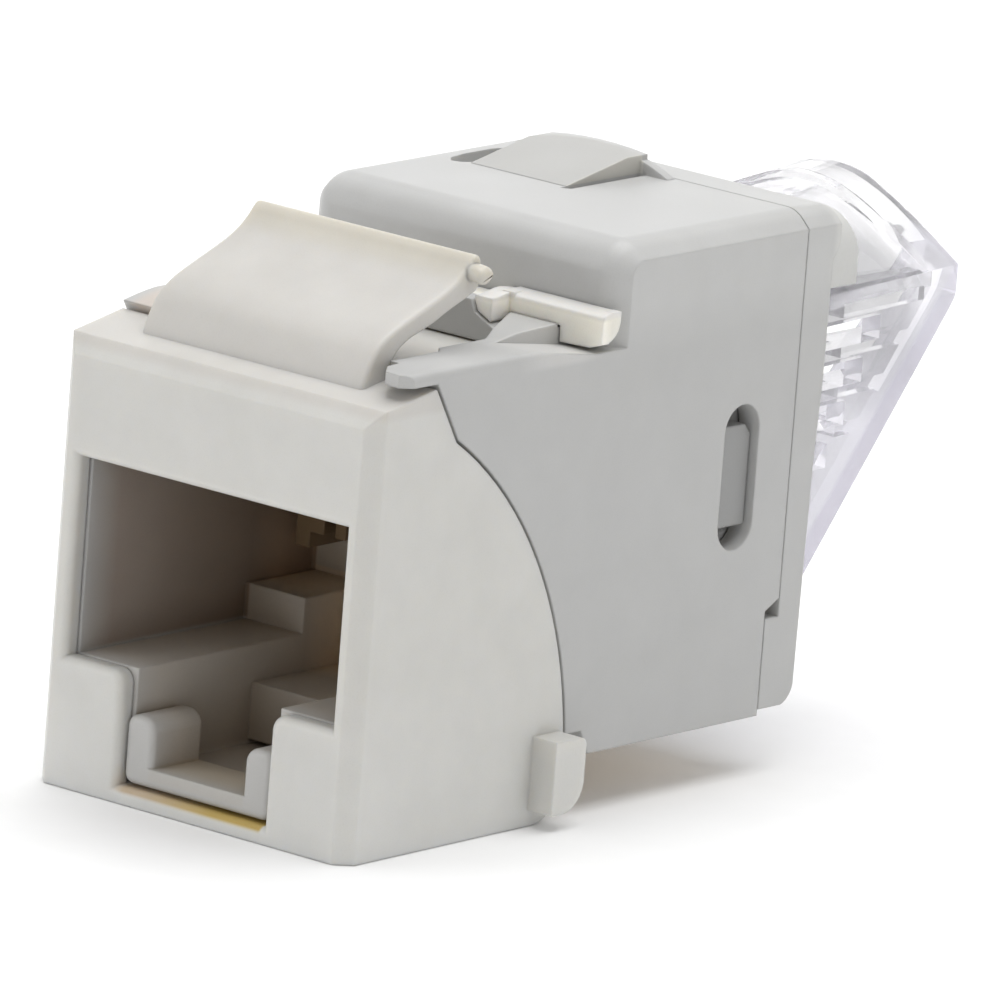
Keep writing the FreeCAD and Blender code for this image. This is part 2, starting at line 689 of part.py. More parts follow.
contact_line = [
    (15.66, 13.20), (4.25, 13.20), (3.62, 13.05), (3.30, 12.72), (3.34, 12.30),
    (3.75, 12.02), (5.2, 11.55), (11.2, 9.35), (12.35, 9.05),
]
for i in range(8):
    name = "jack_contact_%d" % (i + 1)
    body = new_body(name)
    x = (i - 3.5) * DIM["jack_pitch"]
    sk = new_sketch(body, "YZ_Plane", name + "_side", "0")
    sk.AttachmentOffset = Placement(Vector(0, 0, x), Rotation())
    sk.setExpression("AttachmentOffset.Base.z", "Dim.jack_pitch * (%g)" % (i - 3.5))
    outline(sk, [("%.4f" % a, "%.4f" % b) for a, b in ribbon(contact_line, DIM["wire"])])
    pad(body, sk, name + "_strip", "wire", both=True)

# ---------------------------------------------------------------- circuit board
board = new_body("compensation_pcb")
sk = new_sketch(board, "XZ_Plane", "board_face", "-board_front")
rect(sk, "-5.9", "5.9", "3.6", "19.0")
pad(board, sk, "board_pad", "board_thick", back=True)

# ---------------------------------------------------------------- rear contacts
for i in range(8):
    name = "idc_contact_%d" % (i + 1)
    body = new_body(name)
    side = 1 if i < 4 else -1
    z = DIM["idc_low"] + (i % 4) * DIM["idc_pitch"]
    sk = new_sketch(body, "YZ_Plane", name + "_side", "0")
    sk.AttachmentOffset = Placement(Vector(0, 0, side * DIM["idc_x"]), Rotation())
    sk.setExpression("AttachmentOffset.Base.z", "Dim.idc_x * (%d)" % side)
    shape = [
        (16.73, -0.20), (18.2, -0.20), (18.2, -0.50), (26.05, -0.50), (26.30, -0.34),
        (25.9, -0.16), (24.4, -0.16), (24.4, 0.16), (25.9, 0.16), (26.30, 0.34),
        (26.05, 0.50), (18.2, 0.50), (18.2, 0.20), (16.73, 0.20),
    ]
    outline(sk, [("%.4f" % a, "%.4f" % (z + b)) for a, b in shape])
    pad(body, sk, name + "_blade", "idc_thick", both=True)

# ---------------------------------------------------------------- rear housing
rear = new_body("idc_housing")
sk = new_sketch(rear, "YZ_Plane", "rear_side")
outline(
    sk,
    [
        ("seam_low_y + 0.05", "box_bottom + 0.22"), ("23.95", "box_bottom + 0.22"),
        ("24.57", "3.10"), ("24.60", "8.0"), ("24.72", "11.2"), ("24.90", "14.3"),
        ("24.92", "18.6"), ("25.28", "19.2"), ("25.28", "20.20"), ("24.88", "box_top"),
        ("seam_y + 0.05", "box_top"),
        ("seam_y + 0.05", "5.75"), ("seam_low_y + 0.05", "5.75"),
    ],
    {1: ("0.9", 1), 8: ("0.40", 1)},
)
pad(rear, sk, "rear_block", "face_half + face_half", both=True)
sk = new_sketch(rear, "XZ_Plane", "rear_top", "-23.0")
outline(
    sk,
    [
        ("face_half + 0.4", "box_top - edge_bevel"), ("face_half + 0.4", "box_top + 0.4"),
        ("face_half - edge_bevel - 0.4556", "box_top + 0.4"), ("face_half - edge_bevel - 0.4556", "box_top"),
        ("face_half - edge_bevel + 0.322", "box_top - 0.322"), ("face_half", "box_top - edge_bevel"),
    ],
    {3: ("edge_round", -1)},
)
bevel = pocket(rear, sk, "rear_top_bevel", "3")
mirror_x(rear, "rear_top_bevel_left", [bevel])
sk = new_sketch(rear, "XZ_Plane", "insert", "-16.80")
rect(sk, "-inner_half + 0.08", "inner_half - 0.08", "3.2", "19.5")
pad(rear, sk, "insert_pad", "6.8", back=True)
sk = new_sketch(rear, "YZ_Plane", "snap_tab", "6.0")
outline(sk, [("19.62", "9.40"), ("21.34", "9.40"), ("21.34", "12.72"), ("21.00", "13.10"), ("19.62", "13.10")])
tab = pad(rear, sk, "snap_tab_pad", "0.93")
mirror_x(rear, "snap_tab_left", [tab])
sk = new_sketch(rear, "XZ_Plane", "collar", "-24.9")
outline(
    sk,
    [
        ("-6.60", "17.40"), ("-6.05", "17.40"), ("-1.60", "18.92"), ("1.60", "18.92"),
        ("6.05", "17.40"), ("6.60", "17.40"), ("6.60", "18.60"), ("5.10", "19.95"),
        ("-5.10", "19.95"), ("-6.60", "18.60"),
    ],
    {6: ("1.75", 1), 8: ("1.75", 1)},
)
pad(rear, sk, "collar_pad", "2.3", back=True)
sk = new_sketch(rear, "XZ_Plane", "hood", "-24.5")
outline(
    sk,
    [("-4.10", "15.50"), ("4.10", "15.50"), ("4.10", "15.80"), ("-4.10", "15.80")],
    {2: ("7.4", 1)},
)
pad(rear, sk, "hood_pad", "3.2", back=True)
sk = new_sketch(rear, "XZ_Plane", "wire_ribs", "-24.3")
for side in ("", "-"):
    for j in range(5):
        z = DIM["idc_low"] + (j - 0.5) * DIM["idc_pitch"]
        tip = "5.40" if j < 4 else "3.90"
        x0, x1 = ("3.40", tip) if not side else ("-" + tip, "-3.40")
        rect(sk, x0, x1, "%.4f" % (z - 0.16), "%.4f" % (z + 0.16))
pad(rear, sk, "wire_ribs_pad", "2.1", back=True)
sk = new_sketch(rear, "XZ_Plane", "blade_ways", "-16.0")
for side in (1, -1):
    for j in range(4):
        z = DIM["idc_low"] + j * DIM["idc_pitch"]
        x = side * DIM["idc_x"]
        rect(sk, "%.4f" % (x - 0.25), "%.4f" % (x + 0.25), "%.4f" % (z - 0.55), "%.4f" % (z + 0.55))
pocket(rear, sk, "blade_ways_cut", "11")

# ---------------------------------------------------------------- lacing cap
# Clear hood: an arched section along Y, cut by a slanting underside.


def prism(name, role, offset, length, points, arcs=None, both=False):
    """A straight extrusion of a sketch that stands in one of the base planes."""
    sk = doc.addObject("Sketcher::SketchObject", name + "_sketch")
    turn = {
        "XZ": Rotation(Vector(1, 0, 0), 90),
        "YZ": Rotation(Vector(1, 0, 0), Vector(0, 1, 0), Vector(0, 0, 1), "ZXY"),
    }[role]
    if role == "XZ":
        sk.Placement = Placement(Vector(0, number(offset), 0), turn)
        if bound(offset):
            sk.setExpression("Placement.Base.y", formula(offset))
        direction = Vector(0, 1, 0)
    else:
        turn = Rotation(FreeCAD.Matrix(0, 0, 1, 0, 1, 0, 0, 0, 0, 1, 0, 0, 0, 0, 0, 1))
        sk.Placement = Placement(Vector(number(offset), 0, 0), turn)
        if bound(offset):
            sk.setExpression("Placement.Base.x", formula(offset))
        direction = Vector(1, 0, 0)
    outline(sk, points, arcs)
    ex = doc.addObject("Part::Extrusion", name)
    ex.Base = sk
    ex.DirMode = "Custom"
    ex.Dir = direction
    tie(ex, "LengthFwd", length)
    ex.Solid = True
    ex.Symmetric = both
    return ex


def arch(name, offset, half, shoulder, crown, bottom, side_r, top_r, inset="0"):
    """Closed outline of the hood in a plane across Y: straight sides and a low pointed arch."""
    sk = doc.addObject("Sketcher::SketchObject", name)
    sk.Placement = Placement(Vector(0, number(offset), 0), Rotation(Vector(1, 0, 0), 90))
    if bound(offset):
        sk.setExpression("Placement.Base.y", formula(offset))
    outline(
        sk,
        [
            (minus(half), bottom),
            (half, bottom), (half, shoulder), ("1.5 - " + inset, crown),
            ("-1.5 + " + inset, crown), (minus(half), shoulder),
        ],
        {2: (side_r, 1), 3: (top_r, 1), 4: (side_r, 1)},
    )
    return sk


def minus(expr):
    """The same sum with every sign turned round."""
    return " ".join(
        ("- " if k and sgn > 0 else "+ " if k else "-" if sgn > 0 else "") + word
        for k, (sgn, word) in enumerate(split(expr))
    )


def loft(name, first, last):
    out = doc.addObject("Part::Loft", name)
    out.Sections = [first, last]
    out.Solid = True
    out.Ruled = True
    return out


hood_front = loft(
    "cap_hood_front",
    arch("cap_arch_front", "cap_front", "cap_half", "17.08", "18.40", "5.0", "16.0", "4.54"),
    arch("cap_arch_step_low", "cap_step", "6.00", "17.10", "19.13", "5.0", "26.0", "4.54"),
)
hood_back = loft(
    "cap_hood_back",
    arch("cap_arch_step", "cap_step - 0.2", "6.01", "17.10", "19.38", "5.0", "26.0", "4.54"),
    arch("cap_arch_back", "cap_back", "cap_half_back", "17.15", "19.63", "5.0", "30.0", "4.54"),
)
doc.recompute()
rim = [
    (i, 0.45, 0.45)
    for i, e in enumerate(hood_back.Shape.Edges, 1)
    if all(near(v.Point.y, DIM["cap_back"], 0.01) for v in e.Vertexes)
    and e.CenterOfMass.z > 8.0
]
cap_round = doc.addObject("Part::Fillet", "cap_round")
cap_round.Base = hood_back
cap_round.Edges = rim
hood_out = doc.addObject("Part::MultiFuse", "cap_hood_out")
hood_out.Shapes = [hood_front, cap_round]
side_out = prism(
    "cap_side_out", "YZ", "0", "cap_half + cap_half + 2",
    [
        ("cap_front - 1", "5.44"), ("33.72", "15.51"), ("34.15", "16.05"),
        ("cap_back", "16.70"), ("cap_back", "21.5"), ("cap_front - 1", "21.5"),
    ],
    both=True,
)
cap_outer = doc.addObject("Part::Common", "cap_outer")
cap_outer.Base, cap_outer.Tool = hood_out, side_out
hood_in = loft(
    "cap_hood_in",
    arch("cap_arch_in_front", "cap_front - 0.5", "cap_half - cap_wall + 0.04", "16.40", "17.68", "5.2", "15.0", "3.74", "0.264"),
    arch("cap_arch_in_back", "cap_inside", "cap_half_back - cap_wall + 0.06", "16.40", "18.50", "5.2", "28.0", "3.74", "0.264"),
)
side_in = prism(
    "cap_side_in", "YZ", "0", "cap_half + cap_half",
    [
        ("cap_front - 1.36", "6.82"), ("cap_inside", "16.80"),
        ("cap_inside", "21.0"), ("cap_front - 1.36", "21.0"),
    ],
    both=True,
)
cap_inner = doc.addObject("Part::Common", "cap_inner")
cap_inner.Base, cap_inner.Tool = hood_in, side_in
cap_shell = doc.addObject("Part::Cut", "cap_shell")
cap_shell.Base, cap_shell.Tool = cap_outer, cap_inner
# ribs inside the side walls that press the wires home
ribs = [cap_shell]
for j, end in enumerate((28.95, 30.3, 31.65, 32.5)):
    for side in (1, -1):
        r = doc.addObject("Part::Box", "cap_rib_%d_%s" % (j + 1, "right" if side > 0 else "left"))
        r.Length, r.Width, r.Height = 1.35, end - 27.4, 0.5
        z = DIM["idc_low"] + (j + 0.5) * DIM["idc_pitch"] - 0.25
        r.Placement = Placement(Vector(4.55 if side > 0 else -5.90, 27.4, z), Rotation())
        r.setExpression("Placement.Base.z", "Dim.idc_low + %g * Dim.idc_pitch - 0.25" % (j + 0.5))
        ribs.append(r)
cap_ribbed = doc.addObject("Part::MultiFuse", "cap_ribbed")
cap_ribbed.Shapes = ribs
# four wire slots in each side wall, open at the front rim
slots = []
for j in range(4):
    z = DIM["idc_low"] + j * DIM["idc_pitch"]
    s = doc.addObject("Part::Box", "cap_slot_%d" % (j + 1))
    s.Length, s.Height = 16.0, 0.90
    depth = 1.15 + 1.25 * j * 0.75
    s.Width = 1.0 + depth
    s.Placement = Placement(Vector(-8.0, DIM["cap_front"] - 1.0, z - 0.45), Rotation())
    s.setExpression("Placement.Base.y", "Dim.cap_front - 1")
    s.setExpression("Placement.Base.z", "Dim.idc_low + %d * Dim.idc_pitch - 0.45" % j)
    slots.append(s)
cable = prism(
    "cable_way", "XZ", "28.0", "8",
    [("-cable_half", "cable_low"), ("cable_half", "cable_low"), ("cable_half", "16.85"), ("-cable_half", "16.85")],
)
cable_arch = prism(
    "cable_way_arch", "XZ", "cap_inside - 0.1", "3",
    [("-cable_half", "16.80"), ("cable_half", "16.80"), ("cable_half", "16.90"), ("-cable_half", "16.90")],
    {2: ("4.43", 1)},
)
cuts = doc.addObject("Part::MultiFuse", "cap_cuts")
cuts.Shapes = slots + [cable, cable_arch]
cap = doc.addObject("Part::Cut", "lacing_cap")
cap.Label = "lacing_cap"
cap.Base, cap.Tool = cap_ribbed, cuts

# ---------------------------------------------------------------- write
doc.recompute()
bad = [o.Name for o in doc.Objects if "Invalid" in o.State or "Error" in o.State]
if bad:
    raise RuntimeError("failed objects: %s" % bad)
nodes = [o for o in doc.Objects if o.TypeId == "PartDesign::Body"] + [cap]
os.makedirs("parts", exist_ok=True)
for node in nodes:
    shape = node.Shape
    if shape.isNull() or not shape.isValid() or len(shape.Solids) != 1:
        raise RuntimeError("%s: %d solids, valid %s" % (node.Label, len(shape.Solids), shape.isValid()))
for node in nodes:
    node.Shape.exportStep("parts/%s.step" % node.Label)
    b = node.Shape.BoundBox
    print("%-18s %8.2f mm3  x %6.2f %6.2f  y %6.2f %6.2f  z %6.2f %6.2f" % (
        node.Label, node.Shape.Volume, b.XMin, b.XMax, b.YMin, b.YMax, b.ZMin, b.ZMax))
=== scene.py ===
import json
import math

import bmesh
import bpy
from mathutils import Matrix, Vector

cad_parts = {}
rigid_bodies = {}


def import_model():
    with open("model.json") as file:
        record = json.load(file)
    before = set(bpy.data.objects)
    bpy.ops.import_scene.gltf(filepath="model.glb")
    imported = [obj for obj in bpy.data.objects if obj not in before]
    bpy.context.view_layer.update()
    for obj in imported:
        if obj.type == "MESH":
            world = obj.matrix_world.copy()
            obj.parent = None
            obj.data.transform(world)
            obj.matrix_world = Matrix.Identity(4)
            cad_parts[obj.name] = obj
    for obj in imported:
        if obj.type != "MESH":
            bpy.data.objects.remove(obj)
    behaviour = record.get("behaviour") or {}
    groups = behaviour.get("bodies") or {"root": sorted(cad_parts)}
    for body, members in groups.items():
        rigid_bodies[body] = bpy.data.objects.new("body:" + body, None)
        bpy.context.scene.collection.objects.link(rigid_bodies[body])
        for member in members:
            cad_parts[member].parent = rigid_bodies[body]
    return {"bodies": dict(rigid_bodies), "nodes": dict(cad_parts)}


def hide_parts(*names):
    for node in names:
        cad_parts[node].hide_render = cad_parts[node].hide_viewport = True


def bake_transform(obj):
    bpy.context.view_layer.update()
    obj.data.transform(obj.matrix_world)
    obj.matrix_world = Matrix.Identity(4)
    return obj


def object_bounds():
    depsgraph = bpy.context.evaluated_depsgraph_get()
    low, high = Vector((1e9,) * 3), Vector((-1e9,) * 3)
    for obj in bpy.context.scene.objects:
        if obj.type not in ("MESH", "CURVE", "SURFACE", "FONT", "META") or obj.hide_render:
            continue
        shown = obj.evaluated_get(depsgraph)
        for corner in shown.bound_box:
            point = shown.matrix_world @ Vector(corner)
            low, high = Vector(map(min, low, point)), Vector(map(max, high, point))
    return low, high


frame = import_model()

MM = 0.001
NODES = frame["nodes"]
BODIES = frame["bodies"]
cad_box = [list(v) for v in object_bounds()]
scene = bpy.context.scene

# ------------------------------------------------------------------ camera
AZ, EL, ROLL = math.radians(39.2225), math.radians(13.5285), math.radians(4.3182)
FOCUS, PX, PY = 16000.0, 386.9421, 563.9011
PIVOT = Vector((0, 10, 8)) * MM
DISTANCE = 566.2 * MM
back = Vector((math.sin(AZ) * math.cos(EL), -math.cos(AZ) * math.cos(EL), math.sin(EL)))
right = Vector((math.cos(AZ), math.sin(AZ), 0))
up = back.cross(right)
a, b = 500 - PX, 500 - PY
u = a * math.cos(ROLL) + b * math.sin(ROLL)
v = -a * math.sin(ROLL) + b * math.cos(ROLL)
look = (right * (u / FOCUS) - up * (v / FOCUS) - back).normalized()
cam_up = up * math.cos(ROLL) - right * math.sin(ROLL)
cz = -look
cx = cam_up.cross(cz).normalized()
cy = cz.cross(cx)
cam = bpy.data.objects.new("camera", bpy.data.cameras.new("camera"))
scene.collection.objects.link(cam)
turn = Matrix((cx, cy, cz)).transposed().to_4x4()
cam.matrix_world = Matrix.Translation(PIVOT + back * DISTANCE) @ turn
cam.data.sensor_width = 36
cam.data.lens = FOCUS * 36 / 1000
cam.data.clip_start, cam.data.clip_end = 0.01, 20
scene.camera = cam
scene.view_settings.view_transform = "Standard"
scene.view_settings.look = "None"


# ------------------------------------------------------------------ materials
def lin(*rgb):
    out = []
    for c in rgb:
        c = c / 255.0
        out.append(c / 12.92 if c <= 0.04045 else ((c + 0.055) / 1.055) ** 2.4)
    return (*out, 1.0)


class Graph:
    def __init__(self, name):
        self.mat = bpy.data.materials.new(name)
        self.mat.use_nodes = True
        self.tree = self.mat.node_tree
        self.tree.nodes.clear()
        self.out = self.add("ShaderNodeOutputMaterial")
        self.bsdf = self.add("ShaderNodeBsdfPrincipled")
        self.link(self.bsdf.outputs[0], self.out.inputs["Surface"])
        self.coord = self.add("ShaderNodeTexCoord").outputs["Object"]

    def add(self, kind, **props):
        n = self.tree.nodes.new(kind)
        for k, val in props.items():
            setattr(n, k, val)
        return n

    def link(self, a, b):
        self.tree.links.new(a, b)

    def set(self, **values):
        for k, val in values.items():
            self.bsdf.inputs[k.replace("_", " ")].default_value = val

    def noise(self, scale, detail=3.0, rough=0.5, distort=0.0, stretch=None):
        n = self.add("ShaderNodeTexNoise")
        n.inputs["Scale"].default_value = scale
        n.inputs["Detail"].default_value = detail
        n.inputs["Roughness"].default_value = rough
        n.inputs["Distortion"].default_value = distort
        if stretch:
            m = self.add("ShaderNodeMapping")
            m.inputs["Scale"].default_value = stretch
            self.link(self.coord, m.inputs["Vector"])
            self.link(m.outputs[0], n.inputs["Vector"])
        else:
            self.link(self.coord, n.inputs["Vector"])
        return n.outputs["Fac"]

    def ramp(self, fac, *stops):
        r = self.add("ShaderNodeValToRGB")
        els = r.color_ramp.elements
        while len(els) < len(stops):
            els.new(0.5)
        for e, (pos, col) in zip(els, stops):
            e.position = pos
            e.color = col
        self.link(fac, r.inputs["Fac"])
        return r.outputs["Color"]

    def remap(self, fac, lo, hi, a=0.3, b=0.7):
        m = self.add("ShaderNodeMapRange")
        m.inputs["From Min"].default_value = a
        m.inputs["From Max"].default_value = b
        m.inputs["To Min"].default_value = lo
        m.inputs["To Max"].default_value = hi
        self.link(fac, m.inputs["Value"])
        return m.outputs[0]

    def bump(self, height, distance, strength=1.0, below=None):
        b = self.add("ShaderNodeBump")
        b.inputs["Distance"].default_value = distance
        b.inputs["Strength"].default_value = strength
        self.link(height, b.inputs["Height"])
        if below is not None:
            self.link(below, b.inputs["Normal"])
        return b.outputs["Normal"]


    def mix(self, a, b, fac=1.0, mode="MULTIPLY"):
        m = self.add("ShaderNodeMix", data_type="RGBA", blend_type=mode)
        if hasattr(fac, "is_output"):
            self.link(fac, m.inputs["Factor"])
        else:
            m.inputs["Factor"].default_value = fac
        for src, name in ((a, "A"), (b, "B")):
            if hasattr(src, "is_output"):
                self.link(src, m.inputs[name])
            else:
                m.inputs[name].default_value = src
        return m.outputs["Result"]

    def painted_shade_ao(self, reach):
        """Painted warm shade in places that the piece itself walls in, from occlusion by the piece alone."""
        ao = self.add("ShaderNodeAmbientOcclusion", samples=4, only_local=True)
        ao.inputs["Distance"].default_value = reach
        return ao.outputs["AO"]

    def math(self, op, a, b=None, c=None):
        m = self.add("ShaderNodeMath", operation=op)
        for i, val in enumerate((a, b, c)):
            if val is None:
                continue
            if hasattr(val, "is_output"):
                self.link(val, m.inputs[i])
            else:
                m.inputs[i].default_value = val
        return m.outputs[0]

    def rounded(self, radius):
        """Normals eased over every edge by a radius, as a moulding has them."""
        b = self.add("ShaderNodeBevel", samples=4)
        b.inputs["Radius"].default_value = radius
        return b.outputs["Normal"]

    def inside(self, low, high, soft):
        """1 within a box in millimetres, falling to 0 over soft millimetres (per axis, per side)."""
        soft = soft if isinstance(soft, tuple) else (soft, soft, soft)
        sep = self.add("ShaderNodeSeparateXYZ")
        self.link(self.coord, sep.inputs[0])
        total = None
        for i in range(3):
            fades = soft[i] if isinstance(soft[i], tuple) else (soft[i], soft[i])
            for edge, sign, fade in ((low[i], 1, fades[0]), (high[i], -1, fades[1])):
                if edge is None:
                    continue
                m = self.add("ShaderNodeMapRange")
                m.inputs["From Min"].default_value = (edge - sign * fade) * MM
                m.inputs["From Max"].default_value = (edge + sign * fade) * MM
                self.link(sep.outputs[i], m.inputs["Value"])
                total = m.outputs[0] if total is None else self.math("MULTIPLY", total, m.outputs[0])
        return total


def shade(rgb, k):
    return tuple(c * k for c in rgb[:3]) + (1.0,)


def plastic(name, base, dark=0.965, light=1.03, rough=(0.40, 0.52), sss=0.10, grain=1.0, coat=0.0,
            painted_recess_shade=None, light_shade_tints=(), painted_shade_box=None, edge=0.10):
    """Moulded plastic: cloudy base, fine sparkle grain, pits, painted shade where the piece walls itself in, and
    boxes of painted light and shade.
    """
    g = Graph(name)
    cloud = g.noise(420, 3.0, 0.55)
    fine = g.noise(5200, 2.0, 0.5)
    pit = g.noise(16000, 2.0, 0.6)
    flow = g.noise(160, 2.0, 0.5, distort=0.8, stretch=(1.0, 0.35, 1.0))
    col = g.ramp(cloud, (0.30, shade(base, dark)), (0.52, base), (0.72, shade(base, light)))
    speck = g.ramp(pit, (0.30, (0.965, 0.965, 0.96, 1)), (0.48, (1, 1, 1, 1)))
    col = g.mix(col, speck)
    col = g.mix(col, g.ramp(flow, (0.35, (0.985, 0.985, 0.98, 1)), (0.6, (1, 1, 1, 1))))
    # painted shade: darker where the piece walls itself in, kept to a box if one is given
    if painted_recess_shade:
        reach, stops = painted_recess_shade
        painted_shade_tone = g.ramp(g.painted_shade_ao(reach), *stops)
        if painted_shade_box:
            painted_shade_tone = g.mix((1, 1, 1, 1), painted_shade_tone, g.inside(*painted_shade_box), "MIX")
        col = g.mix(col, painted_shade_tone)
    # painted light and shade: colour multiplied up or down inside boxes
    for low, high, soft, tint in light_shade_tints:
        col = g.mix(col, g.mix((1, 1, 1, 1), tint, g.inside(low, high, soft), "MIX"))
    g.link(col, g.bsdf.inputs["Base Color"])
    g.link(g.remap(cloud, rough[0], rough[1]), g.bsdf.inputs["Roughness"])
    n = g.bump(fine, 3.0e-6 * grain, 0.5, g.rounded(edge * MM))
    n = g.bump(pit, 1.2e-6 * grain, 0.5, n)
    g.link(n, g.bsdf.inputs["Normal"])
    g.set(IOR=1.53)
    g.bsdf.inputs["Subsurface Weight"].default_value = sss
    g.bsdf.inputs["Subsurface Radius"].default_value = (1.0, 0.85, 0.6)
    g.bsdf.inputs["Subsurface Scale"].default_value = 0.0006 if sss < 0.3 else 0.0009
    if coat:
        g.bsdf.inputs["Coat Weight"].default_value = coat
        g.bsdf.inputs["Coat Roughness"].default_value = 0.25
    return g.mat


def metal(name, base, tint, rough=(0.18, 0.34)):
    g = Graph(name)
    cloud = g.noise(900, 3.0)
    brush = g.noise(6000, 2.0, stretch=(1.0, 0.05, 1.0))
    col = g.ramp(cloud, (0.32, tint), (0.6, base))
    g.link(col, g.bsdf.inputs["Base Color"])
    g.link(g.remap(brush, rough[0], rough[1]), g.bsdf.inputs["Roughness"])
    g.link(g.bump(brush, 1.0e-6, 0.4), g.bsdf.inputs["Normal"])
    g.set(Metallic=1.0)
    return g.mat


def board(name):
    g = Graph(name)
    weave = g.add("ShaderNodeTexBrick")
    weave.inputs["Scale"].default_value = 2500
    weave.inputs["Mortar Size"].default_value = 0.06
    weave.inputs["Color1"].default_value = lin(24, 92, 52)
    weave.inputs["Color2"].default_value = lin(20, 84, 48)
    weave.inputs["Mortar"].default_value = lin(16, 70, 42)
    g.link(g.coord, weave.inputs["Vector"])
    g.link(weave.outputs["Color"], g.bsdf.inputs["Base Color"])
    g.link(g.remap(g.noise(1500), 0.22, 0.38), g.bsdf.inputs["Roughness"])
    g.link(g.bump(weave.outputs["Fac"], 4e-6, 0.4), g.bsdf.inputs["Normal"])
    g.bsdf.inputs["Coat Weight"].default_value = 0.4
    g.bsdf.inputs["Coat Roughness"].default_value = 0.12
    return g.mat


def clear(name, light_shade_tints=()):
    """Clear moulded polycarbonate, a little milky, with flow lines."""
    g = Graph(name)
    cloud = g.noise(260, 2.0)
    flow = g.noise(900, 2.0, distort=0.6, stretch=(1.0, 0.25, 1.0))
    col = g.ramp(cloud, (0.3, (0.805, 0.803, 0.818, 1)), (0.7, (0.86, 0.858, 0.871, 1)))
    # painted light and shade: colour multiplied up or down inside boxes
    for low, high, soft, tint in light_shade_tints:
        col = g.mix(col, g.mix((1, 1, 1, 1), tint, g.inside(low, high, soft), "MIX"))
    g.link(col, g.bsdf.inputs["Base Color"])
    g.link(g.remap(flow, 0.03, 0.09), g.bsdf.inputs["Roughness"])
    g.link(g.bump(flow, 8e-6, 0.35), g.bsdf.inputs["Normal"])
    g.set(IOR=1.5)
    g.bsdf.inputs["Transmission Weight"].default_value = 0.90
    thin = g.add("ShaderNodeBsdfTransparent")
    # along the slanted lower edge a painted paler, more see-through strip stands in for the light coming through
    # the wall there
    sep = g.add("ShaderNodeSeparateXYZ")
    g.link(g.coord, sep.inputs[0])
    along = g.math("MULTIPLY_ADD", sep.outputs[1], 0.732, -0.732 * 24.36 * MM + 0.681 * 5.44 * MM)
    along = g.math("SUBTRACT", along, g.math("MULTIPLY", sep.outputs[2], 0.681))
    painted_pale_strip = g.remap(along, 0.0, 1.0, -1.10 * MM, -0.80 * MM)
    tone = g.ramp(cloud, (0.3, (0.84, 0.835, 0.88, 1)), (0.7, (0.90, 0.895, 0.93, 1)))
    g.link(g.mix(tone, g.mix((1, 1, 1, 1), (0.90, 0.89, 0.92, 1), painted_pale_strip, "MIX")), thin.inputs["Color"])
    both = g.add("ShaderNodeMixShader")
    g.link(g.math("MULTIPLY_ADD", painted_pale_strip, 0.42, 0.12), both.inputs[0])
    g.link(g.bsdf.outputs[0], both.inputs[1])
    g.link(thin.outputs[0], both.inputs[2])
    g.link(both.outputs[0], g.out.inputs["Surface"])
    return g.mat


# painted shade: colour ramps for how far a place is walled in
PAINTED_SHADE_WARM = ((0.08, (0.72, 0.67, 0.58, 1)), (0.32, (0.96, 0.94, 0.90, 1)), (0.55, (1, 1, 1, 1)))
PAINTED_SHADE_GREY = (
    (0.03, (0.36, 0.27, 0.17, 1)), (0.16, (0.48, 0.41, 0.32, 1)),
    (0.34, (0.68, 0.61, 0.54, 1)), (0.55, (0.90, 0.86, 0.82, 1)), (0.72, (1, 1, 1, 1)),
)
# painted reflection: warm gold tone on the bezel's bottom bar
PAINTED_GOLD_REFLECTION = (0.95, 0.85, 0.34, 1)
WARM = plastic(
    "warm_white_plastic", lin(203, 202, 198), sss=0.36, edge=0.14, painted_recess_shade=(0.0016, PAINTED_SHADE_WARM),
    light_shade_tints=(
        # painted reflection: brown then gold band along the top of the bezel's bottom bar
        ((-3.40, 0.03, 0.38), (3.30, 0.95, 1.0), ((0.3, 0.06), 0.04, (0.06, 0.4)), (0.80, 0.64, 0.47, 1)),
        ((-0.60, 0.03, 0.38), (3.30, 0.95, 1.0), ((1.6, 0.06), 0.04, (0.06, 0.4)), PAINTED_GOLD_REFLECTION),
        # painted light: arms lifted as if lit through the plastic, fronts lifted more, tops held back a little, the
        # middle lifted
        ((-8.0, 10.4, 16.6), (8.0, 13.2, 18.6), (0.1, 0.5, 0.3), (1.30, 1.28, 1.22, 1)),
        ((-8.0, 10.4, 16.6), (8.0, 12.2, 18.06), (0.1, 0.2, (0.2, 0.06)), (1.18, 1.17, 1.17, 1)),
        ((-8.0, 10.4, 18.12), (8.0, 13.2, 18.6), (0.1, 0.3, (0.05, 0.1)), (0.94, 0.945, 1.0, 1)),
        ((-3.3, 10.4, 16.6), (3.3, 11.2, 18.1), (0.1, 0.1, 0.06), (1.06, 1.05, 1.07, 1)),
        # painted shade: bezel and lever tops, above z 15.9 and in front of y 9.2, darkened and warmed
        ((-8.0, None, 15.9), (8.0, 9.2, None), (0.1, 0.6, 0.12), (0.937, 0.921, 0.914, 1)),
        ((-8.0, 6.4, 19.7), (8.0, 8.2, None), (0.1, 0.4, 0.4), (1.02, 1.0, 0.93, 1)),
        # painted light: everything below z 3.6 lifted, against the darker lower front
        ((-8.6, None, -1.0), (8.6, None, 3.6), (0.1, 0.1, (0.1, 2.6)), (1.065, 1.07, 1.08, 1)),
    ),
)
